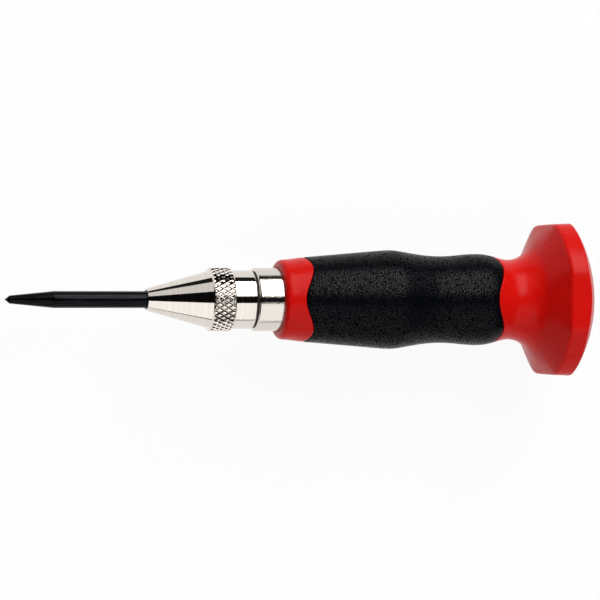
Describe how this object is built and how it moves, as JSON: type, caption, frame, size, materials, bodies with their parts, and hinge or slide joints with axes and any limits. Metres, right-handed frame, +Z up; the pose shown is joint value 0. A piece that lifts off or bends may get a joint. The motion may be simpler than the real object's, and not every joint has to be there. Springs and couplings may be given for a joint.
{
  "type": "automatic center punch",
  "caption": "Spring-loaded automatic center punch with a tapered pin, knurled screw-on nose, plated barrel and a gripped handle that ends in a domed palm guard.",
  "frame": {"origin": "middle of the box around the tool, on its axis", "axes": "X along the tool, with the point toward -X and the domed guard toward +X; Y and Z square to the guard's flats, +Z up with the tool lying on a flat"},
  "size_m": [0.1446, 0.0374, 0.0374],
  "materials": {
    "black_oxide_steel": "ground, hardened and black-oxided",
    "tool_steel": "turned and hardened",
    "spring_steel": "drawn wire",
    "bright_plating": "turned, knurled and bright nickel-plated",
    "satin_plating": "satin nickel-plated",
    "brass": "turned",
    "rubber": "moulded",
    "red_plastic": "moulded, semi-gloss",
    "soft_grip": "moulded soft elastomer with a fine leather grain"
  },
  "bodies": {
    "barrel": {"barrel": "satin_plating", "barrel_o_ring": "rubber", "guide_bush": "brass", "trip_sleeve": "tool_steel", "return_spring": "spring_steel"},
    "punch": {"punch_pin": "black_oxide_steel", "drive_rod": "tool_steel"},
    "striker": {"striker": "tool_steel", "spring_guide": "tool_steel", "release_plug": "tool_steel", "release_spring": "spring_steel"},
    "release": {"release_block": "tool_steel"},
    "nose_ring": {"nose_washer": "rubber"},
    "nose": {"nose_cone": "bright_plating"},
    "rear_seat": {"thrust_washer": "tool_steel", "main_spring": "spring_steel"},
    "handle": {"handle_body": "red_plastic", "grip_sleeve": "soft_grip", "thread_insert": "brass"}
  },
  "joints": [
    {"name": "pin_slide", "type": "slide", "parent": "barrel", "child": "punch", "axis": [1, 0, 0], "range_m": [0, 0.008], "stiffness_N_per_m": 2000, "springref_m": -0.004, "deforming": ["return_spring"]},
    {"name": "striker_slide", "type": "slide", "parent": "barrel", "child": "striker", "axis": [1, 0, 0], "range_m": [0, 0.008], "deforming": ["main_spring"]},
    {"name": "release_shift", "type": "slide", "parent": "striker", "child": "release", "axis": [0, -1, 0], "range_m": [0, 0.0008], "stiffness_N_per_m": 300, "springref_m": -0.001, "deforming": ["release_spring"]},
    {"name": "nose_feed", "type": "slide", "parent": "barrel", "child": "nose_ring", "axis": [-1, 0, 0], "range_m": [0, 0.005]},
    {"name": "nose_turn", "type": "hinge", "parent": "nose_ring", "child": "nose", "pos_m": [0, 0, 0], "axis": [-1, 0, 0], "range_deg": [0, 1800]},
    {"name": "force_feed", "type": "slide", "parent": "barrel", "child": "rear_seat", "axis": [-1, 0, 0], "range_m": [-0.002, 0.004], "deforming": ["main_spring"]},
    {"name": "force_turn", "type": "hinge", "parent": "rear_seat", "child": "handle", "pos_m": [0, 0, 0], "axis": [-1, 0, 0], "range_deg": [-720, 1440]}
  ],
  "couplings": [
    {"joint": "striker_slide", "follows": "pin_slide", "ratio": 1},
    {"joint": "nose_feed", "follows": "nose_turn", "m_per_rad": 0.00015915},
    {"joint": "force_feed", "follows": "force_turn", "m_per_rad": 0.00015915}
  ]
}
